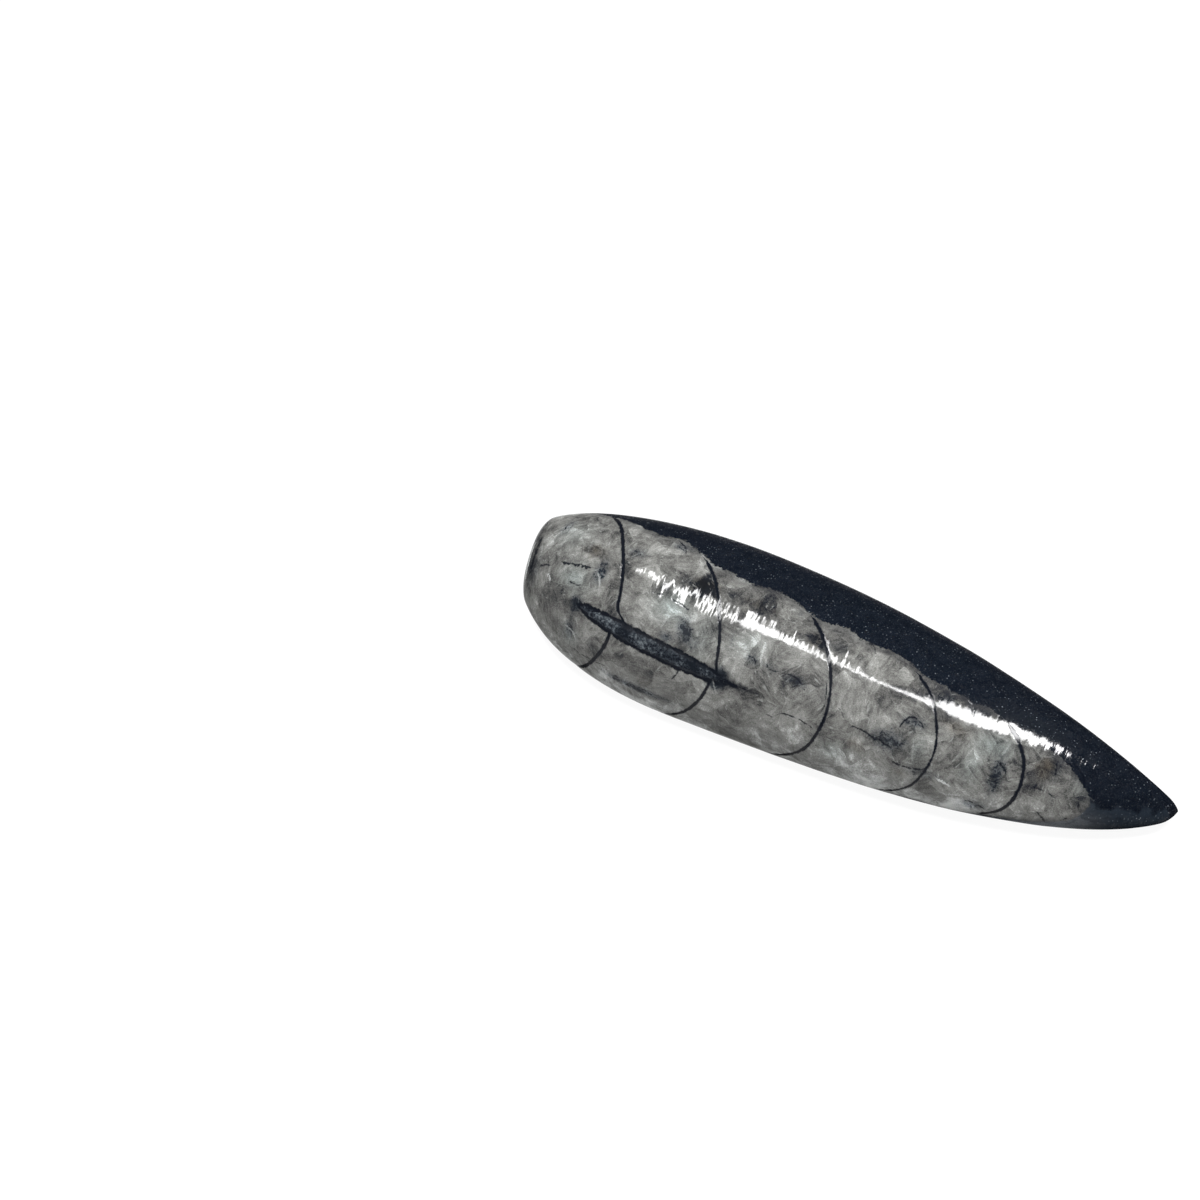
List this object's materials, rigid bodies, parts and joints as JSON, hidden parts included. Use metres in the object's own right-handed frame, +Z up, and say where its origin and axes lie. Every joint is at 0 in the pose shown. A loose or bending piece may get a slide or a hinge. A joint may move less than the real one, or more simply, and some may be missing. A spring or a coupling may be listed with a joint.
{
  "type": "orthoceras fossil",
  "caption": "Polished torpedo-shaped stone with a straight chambered shell and its siphuncle showing along one side; it lies on a flat ground base.",
  "frame": {"origin": "centre of the bounding box's footprint, on the flat ground base", "axes": "+X along the stone from its blunt end to its tip; +Z up out of the ground base; -Y toward the side that shows most of the shell"},
  "size_m": [0.0958, 0.027, 0.0182],
  "materials": {
    "fossil_limestone": "hand-polished black limestone with a grey calcite shell, dark septa and a fine-grained siphuncle"
  },
  "bodies": {
    "root": {"fossil_stone": "fossil_limestone"}
  },
  "joints": []
}
